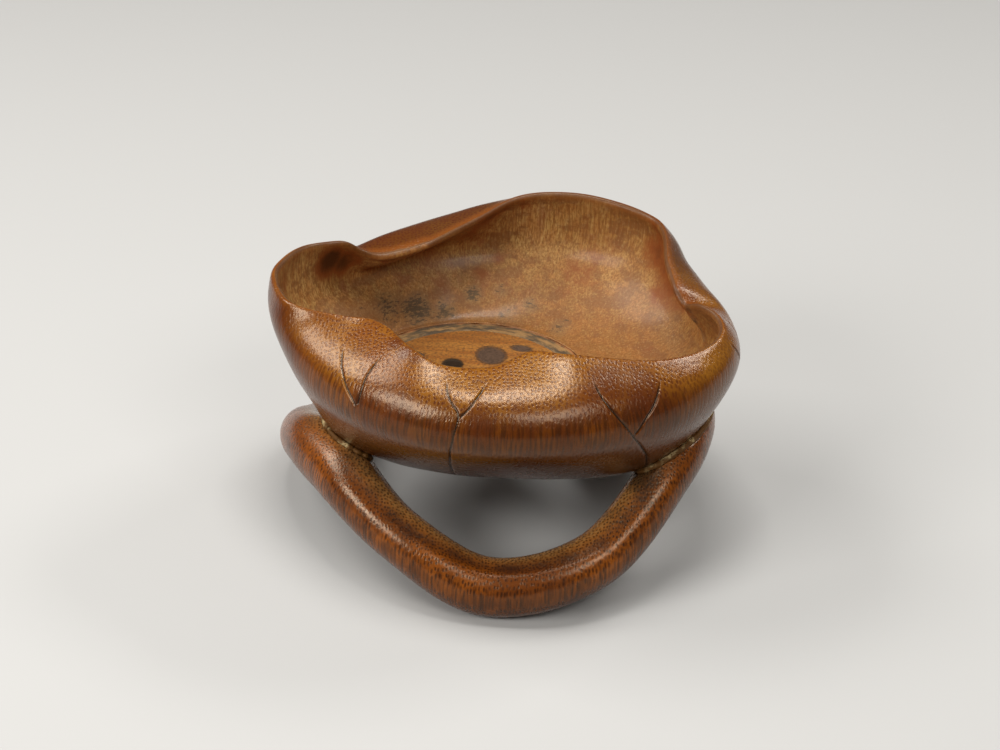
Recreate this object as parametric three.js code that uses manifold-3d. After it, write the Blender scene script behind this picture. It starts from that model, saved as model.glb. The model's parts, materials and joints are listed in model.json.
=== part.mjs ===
// Brush washer in bamboo: a lotus-leaf bowl standing on its own stalk, which is bent into a ring.
// Millimetres, +Z up, front of the washer towards -Y, origin on the floor under the middle of the box.
import * as THREE from "three";
import { mergeVertices } from "three/addons/utils/BufferGeometryUtils.js";
import Module from "manifold-3d";

const wasm = await Module();
wasm.setup();

// Driving dimensions

const CULM_R = 54; // radius of the bamboo that the leaf is cut from
const LEAF_H = 35; // height of the leaf, from its underside to the top of its rim
const BOWL_AXIS_X = -2.4; // the leaf's own axis in the drawing
const BASE_Z = 26; // height of the bowl's underside above the table
const BASE_CROWN = 0.8; // the underside hangs this much lower at its middle
const BASE_R = 28; // radius where the underside turns up into the wall
const FLOOR_T = 6; // thickness of the bowl's floor
const FLOOR_RIM = 1.2; // flat margin of the floor left round the seam, where the wall leaves it
const WALL_LOW = 5.2; // wall thickness low on the flank
const WALL_MID = 3.6; // wall thickness at the belly
const WALL_HIGH = 2.8; // wall thickness at the shoulder where the rim stands upright
const LIP = 2; // thickness of the rounded rim
const ROLL_FULL = 8; // a rim this far inside its shoulder counts as fully rolled
const ROLL_SHARE = 0.42; // how far back from a rolled rim the hollow reaches just below it
const ROLL_DROP = 4.4; // and how far below the rim that is
const CREASE_AT = 2.5; // angle of the crease that runs down inside the wall from the right fold
const CREASE_IN = 3.4; // how far its back stands into the bowl
const CREASE_NEAR = 5; // the crease dies away over this many degrees towards the front
const CREASE_FAR = 17; // and over this many towards the back

const DISC_X = -8.6; // middle of the let-in floor disc
const DISC_Y = 3;
const DISC_R = 24.6; // radius of the floor disc
const DISC_T = 3.6; // thickness of the floor disc
const DISC_FIT = 0.3; // clearance all round the disc and under the seam
const SEAM_W = 3.6; // width of the lacquer-putty seam round the disc
const SEAM_T = 1.4; // depth of the seam
const LEDGE_W = 4; // width of the ledge that carries the disc

const STALK_X = -2.5; // middle of the ring that the stalk is bent into
const STALK_Y = -1.9;
const STALK_INSET = 8.6; // the middle of the stalk runs this far inside the culm's radius
const STALK_R = 6.6; // mean radius of the stalk itself
const FOOT_FLAT = 0.5; // depth of the flat worn where the stalk rests on the table
const SEAT_ABOVE = 10; // the top of the stalk reaches this far above the bowl's underside

const GLUE_T = 0.4; // thickness of the old glue in each seat
const SEAT_FIT = 0.3; // clearance on either side of the glue
const PEG_R = 1.5; // radius of the hidden pegs
const PEG_L = 9; // length of the hidden pegs
const PEG_FIT = 0.3; // clearance round each peg

// Outlines of the leaf, drawn for a culm radius of 54 and a leaf 35 high. Each row: angle in degrees
// from +X, radius from the axis, height above the underside.

const DRAWN_R = 54;
const DRAWN_H = 35;

const RIM = [
  [1, 45.5, 30.2], [3.4, 44.6, 29.2], [5.4, 43.6, 28.3], [7.4, 42.6, 29.2], [10, 41.9, 30.6],
  [18.5, 42.3, 32], [25, 43.6, 33], [31, 46.2, 33.6],
  [38, 50, 34], [44, 53, 34], [52, 53.4, 34.2], [60, 52.6, 34.6], [69, 51.3, 35], [79, 49.2, 35], [88, 46.8, 34.2],
  [95.5, 42, 32.6], [107.5, 37.5, 31], [121.5, 35.1, 29.5], [133, 37.6, 27.6], [139.5, 40.4, 27],
  [143, 43.6, 28.2], [148, 46.4, 31], [154, 48.6, 32], [160, 51.4, 32.6], [170, 52.8, 34],
  [179, 54.3, 34], [189.5, 52.9, 34], [196, 51.4, 34], [201, 47.4, 34], [204, 44.3, 34],
  [209, 39.8, 34], [214, 35.6, 34], [222, 34.7, 34], [229, 36, 34], [240, 38.6, 34],
  [246, 39.6, 33], [254, 38.6, 32.1], [263, 37.2, 32], [269, 36.6, 32.5], [275, 34.6, 33.5],
  [281.5, 32.8, 34.2], [293, 36.6, 34.4], [304, 38.9, 33.2], [314, 42.6, 32], [318, 44.9, 31.5],
  [328, 48.4, 30.5], [334, 50.4, 30], [340, 52.2, 30], [346, 52.8, 30.1], [351, 51.6, 30.6], [355, 49.4, 31.1], [358, 47.2, 31],
];
const SHOULDER = [
  [0, 53.2, 26.5], [10, 51.8, 27], [20, 50.6, 27.6], [30, 50.9, 29], [37, 53.6, 30], [46, 55.2, 30.4],
  [70, 52.4, 30.4], [88, 50.4, 31.6], [97, 48.6, 31.2], [107, 47, 30], [122, 45.6, 29],
  [133, 46.4, 28], [140, 47.6, 27], [147, 49.6, 26.6], [155, 51.4, 27], [170, 54, 29], [180, 54.7, 29],
  [192, 54, 28.6], [202, 51.8, 28], [212, 49.4, 28], [225, 48, 28], [245, 47.4, 28],
  [270, 47, 28], [295, 47.6, 28], [315, 50.6, 27], [330, 54, 26.4], [345, 55.6, 26.4],
];
const BELLY = [
  [0, 55.4, 21], [20, 53.6, 21], [45, 53.4, 22], [80, 51.4, 22], [120, 50, 22], [150, 51.2, 20],
  [180, 52.6, 22.4], [200, 51.6, 21], [225, 50.6, 20.5], [270, 50.4, 20], [300, 51.4, 20], [330, 55, 20.6],
  [345, 56.2, 21],
];
const FLANK = [
  [0, 50.8, 10.6], [30, 47, 10.5], [90, 45.4, 10.5], [150, 45.6, 10.5], [180, 46, 10], [200, 46.2, 10],
  [225, 45, 10], [270, 43.4, 10], [300, 46, 9.8], [318, 49.4, 9.8], [345, 51.4, 10],
];
const HEEL = [
  [0, 46.5, 5], [40, 39, 2.4], [90, 38, 2.2], [150, 38.5, 2], [180, 40.6, 1.8], [200, 41, 1.6],
  [215, 39, 0.8], [230, 36.4, 1.1], [250, 35, 2.1], [270, 35, 2.8], [290, 37.4, 3],
  [305, 41.6, 3.2], [318, 45.5, 4.2], [330, 47, 5], [345, 48, 5.4],
];

// Run of the stalk round the ring, drawn for a full rise of 23.3. Each row: angle, change of ring
// radius, rise above its lowest run, change of its own radius.

const DRAWN_RISE = 23.3;

const STALK = [
  [0, -0.4, 22.3, 0], [30, 0.9, 11.5, 0], [62, 0.4, 0.3, 0], [90, 0.4, 0, 0], [120, 1.3, 0, 0],
  [148, 3.6, 0.2, 0], [180, 0.4, 11.6, 0], [195, -1.9, 15.5, 0.5], [210, -3.6, 15.7, 0.7],
  [240, -3, 8.5, -0.2], [270, -1.8, 0.1, 0.3], [300, 0.6, 5.9, 0], [330, 0.7, 21.3, -0.3],
  [345, 0.1, 23.3, -0.2],
];
const SEAT_LEFT = 206; // angle of the left seat on the ring
const SEAT_RIGHT = 342; // angle of the right seat on the ring

// Spacing of the surface points

const BOWL_STEPS = 106;
const WALL_STEPS = 15;
const HOLLOW_STEPS = 13;
const LIP_STEPS = 3;
const STALK_STEPS = 88;
const STALK_SIDES = 18;
const ROUND = 64;

const RAD = Math.PI / 180;
const FLOOR_Z = BASE_Z + FLOOR_T;
const RISE = BASE_Z + SEAT_ABOVE - 2 * STALK_R + FOOT_FLAT;

// Smooth value of one column of a table of angles, closed round the circle and free of overshoot.
function along(table, column, angle) {
  const n = table.length;
  const a = ((angle % 360) + 360) % 360;
  const knot = (i) => table[((i % n) + n) % n][0] + 360 * Math.floor(i / n);
  const value = (i) => table[((i % n) + n) % n][column];
  const slope = (i) => (value(i + 1) - value(i)) / (knot(i + 1) - knot(i));
  const tangent = (i) => {
    const before = slope(i - 1);
    const after = slope(i);
    if (before * after <= 0) return 0;
    const wb = knot(i) - knot(i - 1);
    const wa = knot(i + 1) - knot(i);
    return (3 * (wb + wa)) / ((2 * wa + wb) / before + (wa + 2 * wb) / after);
  };
  let i = -1;
  while (knot(i + 1) <= a) i += 1;
  const h = knot(i + 1) - knot(i);
  const t = (a - knot(i)) / h;
  const t2 = t * t;
  const t3 = t2 * t;
  return (
    (2 * t3 - 3 * t2 + 1) * value(i) +
    (t3 - 2 * t2 + t) * h * tangent(i) +
    (3 * t2 - 2 * t3) * value(i + 1) +
    (t3 - t2) * h * tangent(i + 1)
  );
}

// Solids

function solidOf(geometry) {
  const bare = geometry.index ? geometry.toNonIndexed() : geometry.clone();
  bare.deleteAttribute("normal");
  bare.deleteAttribute("uv");
  const merged = mergeVertices(bare, 1e-3);
  return new wasm.Manifold(
    new wasm.Mesh({
      numProp: 3,
      vertProperties: new Float32Array(merged.attributes.position.array),
      triVerts: new Uint32Array(merged.index.array),
    }),
  );
}

function geometryOf(solid) {
  const mesh = solid.getMesh();
  const points = new Float32Array((mesh.vertProperties.length / mesh.numProp) * 3);
  for (let i = 0; i < points.length / 3; i += 1) {
    for (let k = 0; k < 3; k += 1) points[3 * i + k] = mesh.vertProperties[mesh.numProp * i + k];
  }
  const geometry = new THREE.BufferGeometry();
  geometry.setAttribute("position", new THREE.BufferAttribute(points, 3));
  geometry.setIndex(new THREE.BufferAttribute(new Uint32Array(mesh.triVerts), 1));
  geometry.computeVertexNormals();
  return geometry;
}

// Surface through rows of points: every row closes on itself, and a row of one point closes an end.
function skin(rows) {
  const points = [];
  const first = rows.map((row) => {
    const start = points.length / 3;
    row.forEach((p) => points.push(p[0], p[1], p[2]));
    return start;
  });
  const faces = [];
  for (let r = 0; r + 1 < rows.length; r += 1) {
    const n = Math.max(rows[r].length, rows[r + 1].length);
    for (let k = 0; k < n; k += 1) {
      const a = first[r] + (k % rows[r].length);
      const b = first[r] + ((k + 1) % rows[r].length);
      const c = first[r + 1] + (k % rows[r + 1].length);
      const d = first[r + 1] + ((k + 1) % rows[r + 1].length);
      if (a !== b) faces.push(a, b, d);
      if (c !== d) faces.push(a, d, c);
    }
  }
  const geometry = new THREE.BufferGeometry();
  geometry.setAttribute("position", new THREE.Float32BufferAttribute(points, 3));
  geometry.setIndex(faces);
  return geometry;
}

// Leaf bowl

// Angles of the bowl's surface points, closer together at the three folds of the rim.
function bowlAngles() {
  const folds = [
    [4, 9, 2.6],
    [144, 9, 1.5],
    [205, 14, 1.5],
  ];
  const density = (a) =>
    folds.reduce((sum, [at, wide, more]) => {
      const off = ((a - at + 540) % 360) - 180;
      return sum + more * Math.exp(-((off / wide) ** 2));
    }, 1);
  const fine = 3600;
  const total = [0];
  for (let i = 0; i < fine; i += 1) total.push(total[i] + density((i * 360) / fine));
  const angles = [];
  let j = 0;
  for (let k = 0; k < BOWL_STEPS; k += 1) {
    const want = (k * total[fine]) / BOWL_STEPS;
    while (total[j + 1] <= want) j += 1;
    angles.push(((j + (want - total[j]) / (total[j + 1] - total[j])) * 360) / fine);
  }
  return angles;
}

// A point of one of the leaf's outlines, as radius and height.
function leafPoint(table, angle) {
  const r = (along(table, 1, angle) * CULM_R) / DRAWN_R;
  return new THREE.Vector3(r, BASE_Z + (along(table, 2, angle) * LEAF_H) / DRAWN_H, 0);
}

// Outer outline of the wall at one angle, from the edge of the underside to the rim.
function wallOutline(angle) {
  const at = (table) => leafPoint(table, angle);
  const base = new THREE.Vector3(BASE_R, BASE_Z, 0);
  const inside = new THREE.Vector3(BASE_R - 8, BASE_Z - 0.25, 0);
  const knots = [inside, base, at(HEEL), at(FLANK), at(BELLY), at(SHOULDER), at(RIM)];
  const curve = new THREE.CatmullRomCurve3(knots, false, "centripetal");
  const line = [];
  const start = 1 / (knots.length - 1);
  for (let i = 0; i <= WALL_STEPS; i += 1) {
    line.push(curve.getPoint(start + ((1 - start) * i) / WALL_STEPS));
  }
  return line;
}

// Outline pushed out by a distance (negative is inwards), and the direction it faces at each point.
function facing(line, i) {
  const before = line[Math.max(0, i - 1)];
  const after = line[Math.min(line.length - 1, i + 1)];
  const run = new THREE.Vector3().subVectors(after, before).normalize();
  return new THREE.Vector3(run.y, -run.x, 0);
}

// Reach of the flat floor from the leaf's axis: a circle round the disc, a margin wider than the seam.
function floorReach(angle) {
  const x = DISC_X - BOWL_AXIS_X;
  const ahead = x * Math.cos(angle * RAD) + DISC_Y * Math.sin(angle * RAD);
  const aside = DISC_Y * Math.cos(angle * RAD) - x * Math.sin(angle * RAD);
  const radius = DISC_R + DISC_FIT + SEAM_W + DISC_FIT + FLOOR_RIM;
  return ahead + Math.sqrt(radius ** 2 - aside ** 2);
}

// Inner outline of the wall at one angle, from the rim down to the floor. Where the rim is rolled
// inwards the wall is left thick below it, so that the hollow opens out evenly from the rim.
function hollowOutline(angle) {
  const at = (table) => leafPoint(table, angle);
  const outer = wallOutline(angle);
  const last = outer.length - 1;
  const rim = outer[last];
  const shoulder = at(SHOULDER);
  const belly = at(BELLY);
  const flank = at(FLANK);
  const reach = Math.min(floorReach(angle), flank.x - WALL_LOW - FLOOR_RIM);
  const rolled = THREE.MathUtils.clamp((shoulder.x - rim.x) / ROLL_FULL, 0, 1);
  const off = ((angle - CREASE_AT + 540) % 360) - 180;
  const crease = CREASE_IN * Math.exp(-((off / (off < 0 ? CREASE_NEAR : CREASE_FAR)) ** 2));
  const thin = new THREE.Vector3(shoulder.x - WALL_HIGH, shoulder.y - 0.4, 0);
  const thick = new THREE.Vector3(rim.x + ROLL_SHARE * (thin.x - rim.x), rim.y - ROLL_DROP, 0);
  thick.x -= 0.4 * crease;
  const knots = [
    rim.clone().addScaledVector(facing(outer, last), -LIP),
    thin.lerp(thick, rolled),
    new THREE.Vector3(belly.x - WALL_MID - crease, belly.y - 1.5, 0),
    new THREE.Vector3(flank.x - WALL_LOW - 0.4 * crease, flank.y + 1.2, 0),
    new THREE.Vector3(reach, FLOOR_Z, 0),
    new THREE.Vector3(reach - 6, FLOOR_Z, 0),
  ];
  const curve = new THREE.CatmullRomCurve3(knots, false, "centripetal");
  const line = [];
  const end = 1 - 1 / (knots.length - 1);
  for (let i = 0; i <= HOLLOW_STEPS; i += 1) {
    const p = curve.getPoint((end * i) / HOLLOW_STEPS);
    p.y = Math.max(p.y, FLOOR_Z);
    line.push(p);
  }
  return line;
}

function placed(angle, point) {
  return [BOWL_AXIS_X + point.x * Math.cos(angle * RAD), point.x * Math.sin(angle * RAD), point.y];
}

// The bowl's whole surface, or the solid block inside its outer surface grown by a distance.
function bowlGeometry() {
  const columns = bowlAngles().map((angle) => {
    const outer = wallOutline(angle);
    const column = outer.map((p) => placed(angle, p));
    const last = outer.length - 1;
    const rim = outer[last];
    const out = facing(outer, last);
    const over = new THREE.Vector3(-out.y, out.x, 0);
    for (let k = 1; k <= LIP_STEPS; k += 1) {
      const turn = (Math.PI * k) / (LIP_STEPS + 1);
      const p = rim
        .clone()
        .addScaledVector(out, (LIP / 2) * (Math.cos(turn) - 1))
        .addScaledVector(over, (LIP / 2) * Math.sin(turn));
      column.push(placed(angle, p));
    }
    hollowOutline(angle).forEach((p) => column.push(placed(angle, p)));
    return column;
  });
  const rows = columns[0].map((_, i) => columns.map((column) => column[i]));
  const middle = [BOWL_AXIS_X, 0];
  return skin([[[...middle, BASE_Z - BASE_CROWN]], ...rows, [[...middle, FLOOR_Z]]]);
}

function bowlBlock(grow) {
  const columns = bowlAngles().map((angle) => {
    const outer = wallOutline(angle);
    return outer.map((p, i) => placed(angle, p.clone().addScaledVector(facing(outer, i), grow)));
  });
  const rows = columns[0].map((_, i) => columns.map((column) => column[i]));
  const middle = [BOWL_AXIS_X, 0];
  const top = rows[rows.length - 1][0][2];
  return skin([[[...middle, BASE_Z - BASE_CROWN - grow]], ...rows, [[...middle, top]]]);
}

// Stalk bent into a ring

function stalkPoint(angle) {
  const r = CULM_R - STALK_INSET + along(STALK, 1, angle);
  return new THREE.Vector3(
    STALK_X + r * Math.cos(angle * RAD),
    STALK_Y + r * Math.sin(angle * RAD),
    STALK_R - FOOT_FLAT + (along(STALK, 2, angle) * RISE) / DRAWN_RISE,
  );
}

function stalkGeometry() {
  const rows = [];
  for (let k = 0; k < STALK_STEPS; k += 1) {
    const angle = (360 * k) / STALK_STEPS;
    const middle = stalkPoint(angle);
    const run = new THREE.Vector3().subVectors(stalkPoint(angle + 1), stalkPoint(angle - 1)).normalize();
    const out = new THREE.Vector3(Math.cos(angle * RAD), Math.sin(angle * RAD), 0);
    out.addScaledVector(run, -out.dot(run)).normalize();
    const down = new THREE.Vector3().crossVectors(run, out);
    const r = STALK_R + along(STALK, 3, angle);
    const row = [];
    for (let s = 0; s < STALK_SIDES; s += 1) {
      const t = (2 * Math.PI * s) / STALK_SIDES;
      const p = middle.clone().addScaledVector(out, r * Math.cos(t)).addScaledVector(down, r * Math.sin(t));
      row.push([p.x, p.y, p.z]);
    }
    rows.push(row);
  }
  rows.push(rows[0]);
  return skin(rows);
}

// Round pieces, standing on their own axis

function turned(profile) {
  const lathe = new THREE.LatheGeometry(
    profile.map(([r, z]) => new THREE.Vector2(r, z)),
    ROUND,
  );
  lathe.rotateX(Math.PI / 2);
  return lathe;
}

function disc(r, low, high) {
  return turned([
    [0, low],
    [r, low],
    [r, high],
    [0, high],
  ]).translate(DISC_X, DISC_Y, 0);
}

function ring(inner, outer, low, high) {
  return turned([
    [inner, low],
    [outer, low],
    [outer, high],
    [inner, high],
    [inner, low],
  ]).translate(DISC_X, DISC_Y, 0);
}

// A peg lies square to the seat: it runs from inside the stalk into the wall of the bowl.
function peg(angle, radius, length) {
  const middle = stalkPoint(angle);
  const outer = wallOutline(angle);
  const flank = new THREE.Vector3(...placed(angle, outer[3]));
  let near = flank;
  outer.forEach((p) => {
    const q = new THREE.Vector3(...placed(angle, p));
    if (q.distanceTo(middle) < near.distanceTo(middle)) near = q;
  });
  const way = new THREE.Vector3().subVectors(near, middle).normalize();
  const pin = new THREE.CylinderGeometry(radius, radius, length, 20);
  pin.applyQuaternion(new THREE.Quaternion().setFromUnitVectors(new THREE.Vector3(0, 1, 0), way));
  const at = near.clone().addScaledVector(way, WALL_MID - 1.4 - PEG_L / 2);
  return pin.translate(at.x, at.y, at.z);
}

// Cuts and joins

const seamInner = DISC_R + DISC_FIT;
const seamOuter = seamInner + SEAM_W;
const seamLow = FLOOR_Z - SEAM_T;
const discLow = FLOOR_Z - DISC_T;
const clear = FLOOR_Z + 5;

let bowl = solidOf(bowlGeometry());
bowl = bowl.subtract(solidOf(disc(DISC_R - LEDGE_W, BASE_Z - 5, clear)));
bowl = bowl.subtract(solidOf(disc(DISC_R + DISC_FIT, discLow - DISC_FIT, clear)));
bowl = bowl.subtract(solidOf(disc(seamOuter + DISC_FIT, seamLow - DISC_FIT, clear)));

let stalk = solidOf(stalkGeometry());
const below = new THREE.BoxGeometry(200, 200, 20).translate(0, 0, -10);
stalk = stalk.subtract(solidOf(below));

const seatBlock = solidOf(bowlBlock(2 * SEAT_FIT + GLUE_T));
const glueOuter = solidOf(bowlBlock(SEAT_FIT + GLUE_T));
const glueInner = solidOf(bowlBlock(SEAT_FIT));
const glue = stalk.intersect(glueOuter).subtract(glueInner);
stalk = stalk.subtract(seatBlock);

const halfLeft = solidOf(new THREE.BoxGeometry(100, 200, 100).translate(-50, 0, 50));
let glueLeft = glue.intersect(halfLeft);
let glueRight = glue.subtract(halfLeft);
[SEAT_LEFT, SEAT_RIGHT].forEach((angle, i) => {
  const hole = solidOf(peg(angle, PEG_R + PEG_FIT, PEG_L + 2 * PEG_FIT));
  bowl = bowl.subtract(hole);
  stalk = stalk.subtract(hole);
  if (i === 0) glueLeft = glueLeft.subtract(hole);
  else glueRight = glueRight.subtract(hole);
});

// Pieces

const SAW_TAN = 0xa9682f;
const pieces = [
  ["leaf_bowl", geometryOf(bowl), 0x8a4b1e, 0.38],
  ["floor_disc", disc(DISC_R, discLow, FLOOR_Z), 0xb9742f, 0.5],
  ["floor_seam", ring(seamInner, seamOuter, seamLow, FLOOR_Z), 0x3a322a, 0.6],
  ["stalk_foot", geometryOf(stalk), 0x6e3717, 0.36],
  ["seat_glue_left", geometryOf(glueLeft), 0xc9b48a, 0.7],
  ["seat_glue_right", geometryOf(glueRight), 0xc9b48a, 0.7],
  ["peg_left", peg(SEAT_LEFT, PEG_R, PEG_L), SAW_TAN, 0.7],
  ["peg_right", peg(SEAT_RIGHT, PEG_R, PEG_L), SAW_TAN, 0.7],
];

const washer = new THREE.Group();
washer.name = "brush_washer";
pieces.forEach(([name, geometry, color, roughness]) => {
  const material = new THREE.MeshStandardMaterial({ color, roughness, metalness: 0 });
  const mesh = new THREE.Mesh(geometry, material);
  mesh.name = name;
  washer.add(mesh);
});

// The drawing was made about the leaf; the washer's origin is on the floor under its middle.
const box = new THREE.Box3().setFromObject(washer);
const middle = box.getCenter(new THREE.Vector3());
pieces.forEach((piece) => piece[1].translate(-middle.x, -middle.y, -box.min.z));

export default washer;
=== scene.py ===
import json
import math
from functools import partial
from types import SimpleNamespace

import bmesh
import bpy
from mathutils import Matrix, Vector, noise
from mathutils.bvhtree import BVHTree
from mathutils.kdtree import KDTree

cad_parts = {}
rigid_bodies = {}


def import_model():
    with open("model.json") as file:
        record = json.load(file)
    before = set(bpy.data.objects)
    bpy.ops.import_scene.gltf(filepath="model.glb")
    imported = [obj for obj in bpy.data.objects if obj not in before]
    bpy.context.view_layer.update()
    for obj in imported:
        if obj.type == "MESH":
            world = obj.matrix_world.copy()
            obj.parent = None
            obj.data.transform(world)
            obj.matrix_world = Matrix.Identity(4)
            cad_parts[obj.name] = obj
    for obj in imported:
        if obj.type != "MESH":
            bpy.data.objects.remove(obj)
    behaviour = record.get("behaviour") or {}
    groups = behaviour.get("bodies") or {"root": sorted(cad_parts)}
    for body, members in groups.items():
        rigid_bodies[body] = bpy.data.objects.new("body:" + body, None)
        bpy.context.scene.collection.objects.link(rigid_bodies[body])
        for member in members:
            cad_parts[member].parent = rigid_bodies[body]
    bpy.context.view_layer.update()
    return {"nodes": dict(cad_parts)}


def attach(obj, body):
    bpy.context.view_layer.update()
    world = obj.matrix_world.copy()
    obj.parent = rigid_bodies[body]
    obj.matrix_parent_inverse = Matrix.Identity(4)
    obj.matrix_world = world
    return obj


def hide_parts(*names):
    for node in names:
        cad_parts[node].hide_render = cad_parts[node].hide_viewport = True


# Brush washer: a bamboo lotus leaf on its own stalk. Metres, +Z up, front towards -Y.

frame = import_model()
MM = 0.001


# Camera

# Where the photograph was taken from, and how its frame was turned, found by fitting the washer's outline.
CAMERA_PLACE = Vector((-0.00045, -0.44412, 0.29214))
FRAME_RIGHT = Vector((0.99926292, 0.0191939, 0.03324482))
FRAME_UP = Vector((-0.03838781, 0.49963146, 0.86538707))
LENS_MM = 77.83
SENSOR_MM = 36


def place_camera():
    data = bpy.data.cameras.new("camera")
    data.sensor_width = SENSOR_MM
    data.lens = LENS_MM
    data.clip_start = 0.01
    camera = bpy.data.objects.new("camera", data)
    bpy.context.scene.collection.objects.link(camera)
    turn = Matrix((FRAME_RIGHT, FRAME_UP, FRAME_RIGHT.cross(FRAME_UP))).transposed().to_4x4()
    camera.matrix_world = Matrix.Translation(CAMERA_PLACE) @ turn
    bpy.context.scene.camera = camera


place_camera()


# Small tools for meshes

def only(piece):
    bpy.ops.object.select_all(action="DESELECT")
    piece.select_set(True)
    bpy.context.view_layer.objects.active = piece


def apply_all(piece):
    only(piece)
    for modifier in list(piece.modifiers):
        bpy.ops.object.modifier_apply(modifier=modifier.name)


def from_node(node, name):
    """A joined-up copy of a CAD node's mesh, as four-sided faces where it can be."""
    source = frame["nodes"][node]
    piece = bpy.data.objects.new(name, source.data.copy())
    bpy.context.scene.collection.objects.link(piece)
    piece.data.materials.clear()
    only(piece)
    bpy.ops.object.mode_set(mode="EDIT")
    bpy.ops.mesh.select_all(action="SELECT")
    bpy.ops.mesh.remove_doubles(threshold=0.002 * MM)
    bpy.ops.mesh.tris_convert_to_quads(face_threshold=0.9, shape_threshold=1.2)
    bpy.ops.object.mode_set(mode="OBJECT")
    return piece


def smoothed(piece, levels):
    modifier = piece.modifiers.new("smooth", "SUBSURF")
    modifier.levels = levels
    modifier.render_levels = levels
    apply_all(piece)
    only(piece)
    bpy.ops.object.shade_smooth()


def keep_sharp(piece, where, angle=0.6):
    """Marks the sharp edges in one place, so that smoothing leaves them crisp."""
    mesh = bmesh.new()
    mesh.from_mesh(piece.data)
    crease = mesh.edges.layers.float.get("crease_edge") or mesh.edges.layers.float.new("crease_edge")
    for edge in mesh.edges:
        if len(edge.link_faces) == 2 and edge.calc_face_angle(0) > angle:
            if all(where(v.co / MM) for v in edge.verts):
                edge[crease] = 1
    mesh.to_mesh(piece.data)
    mesh.free()


def moved(piece, shift):
    """Moves each point by what shift gives for its place and the way it faces, in mm."""
    points = [v.co.copy() for v in piece.data.vertices]
    ways = [v.normal.copy() for v in piece.data.vertices]
    flat = []
    for i, (p, n) in enumerate(zip(points, ways)):
        flat.extend(p + shift(i, p / MM, n) * MM)
    piece.data.vertices.foreach_set("co", flat)
    piece.data.update()


def paint(piece, name, values):
    layer = piece.data.attributes.new(name, "FLOAT", "POINT")
    layer.data.foreach_set("value", values)


def blurred(piece, values, times):
    mesh = bmesh.new()
    mesh.from_mesh(piece.data)
    mesh.verts.ensure_lookup_table()
    near = [[e.other_vert(v).index for e in v.link_edges] for v in mesh.verts]
    mesh.free()
    for _ in range(times):
        values = [
            (values[i] + sum(values[j] for j in others)) / (1 + len(others)) for i, others in enumerate(near)
        ]
    return values


# Leaf bowl

LEAF_AXIS = Vector((-0.44, 0.59, 0))
# The floor disc's top, which is the bottom of the hollow.
DISC_TOP = 32
DISC_MIDDLE = Vector((-6.64, 3.59, DISC_TOP))
# Carved veins of the leaf as seen on the real one, in mm.
VEINS = [
    [
        (-35.5, -25.8, 56.8), (-35.6, -31, 54.6), (-34.3, -35.2, 52), (-32.6, -37.8, 49.8),
        (-31.4, -38.9, 48.2),
    ],
    [
        (-26.5, -31.5, 57.8), (-28.5, -34.2, 56.2), (-29.9, -36.1, 54.5), (-30.6, -37.8, 52.4),
        (-31.4, -38.9, 48.4),
    ],
    [
        (-12.1, -39.1, 57), (-11.5, -43.3, 55.2), (-10.3, -45.6, 53.9), (-8.9, -46.7, 52.7),
        (-9.3, -47.9, 50.6), (-10.6, -48.1, 44.3), (-10.9, -44.2, 36), (-10.4, -39.5, 31),
        (-9.6, -35, 28.2),
    ],
    [(-3, -40, 56.9), (-4.8, -43.5, 55.7), (-6.6, -46.1, 53.9), (-9.2, -47.6, 51.6)],
    [
        (19.6, -37.2, 57.3), (21.4, -40.4, 55), (23.6, -41.9, 52.7), (25.9, -42.5, 50.1),
        (30.9, -39.7, 42.2), (33.2, -36, 36.5), (33.4, -32.5, 32.5), (31.5, -29, 29.5),
    ],
    [(34.9, -32.8, 54.9), (34.3, -35.8, 53.1), (33.7, -37.6, 51.4), (31.7, -39.9, 48.9), (29, -41.2, 45.4)],
]
# A vein's half width where it runs out, how much wider it is where it is deepest, how deep it is cut
# there, and the lip that the knife raised beside it.
VEIN_NARROW = 0.12
VEIN_WIDENS = 0.11
VEIN_DEPTH = 0.38
VEIN_LIP = 0.03
# The sides that the picture doesn't show carry the same forked veins: an angle round the leaf, and a lean.
HIDDEN_VEINS = [(350, 1.0), (31, -1.0), (75, 0.8), (117, -0.7), (160, 0.9)]


def outer_point(tree, angle, height):
    way = Vector((math.cos(math.radians(angle)), math.sin(math.radians(angle)), 0))
    start = (LEAF_AXIS + way * 90 + Vector((0, 0, height))) * MM
    return tree.ray_cast(start, -way)[0] / MM


def forked_vein(tree, angle, lean):
    stem = [(48, 2.6), (46.5, 1.4), (43, 1), (38, 0.3), (33, 0), (28.5, 0.4)]
    left = [(55, 8), (52.5, 6.4), (49.5, 4), (46.5, 1.4)]
    right = [(54.6, -6), (52, -4.4), (48.5, -1.6), (44.6, 1.2)]
    return [[outer_point(tree, angle + lean * turn, z) for z, turn in line] for line in (stem, left, right)]


def sampled(line, tree, step=0.25):
    """Points every quarter millimetre along a line laid on the surface, each with its depth."""
    corners = [tree.find_nearest(Vector(p) * MM)[0] / MM for p in line]
    walked = []
    for a, b in zip(corners, corners[1:]):
        count = max(1, int((b - a).length / step))
        walked += [a.lerp(b, i / count) for i in range(count)]
    walked.append(corners[-1])
    laid = []
    for i in range(len(walked)):
        around = walked[max(0, i - 5) : i + 6]
        laid.append(tree.find_nearest(sum(around, Vector()) / len(around) * MM)[0])
    last = len(laid) - 1
    # the cut deepens over the first 3 mm and runs out over the last 1
    return [(p, min(1.0, 0.25 + i * step / 4, 0.4 + (last - i) * step / 1.5)) for i, p in enumerate(laid)]


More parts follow.
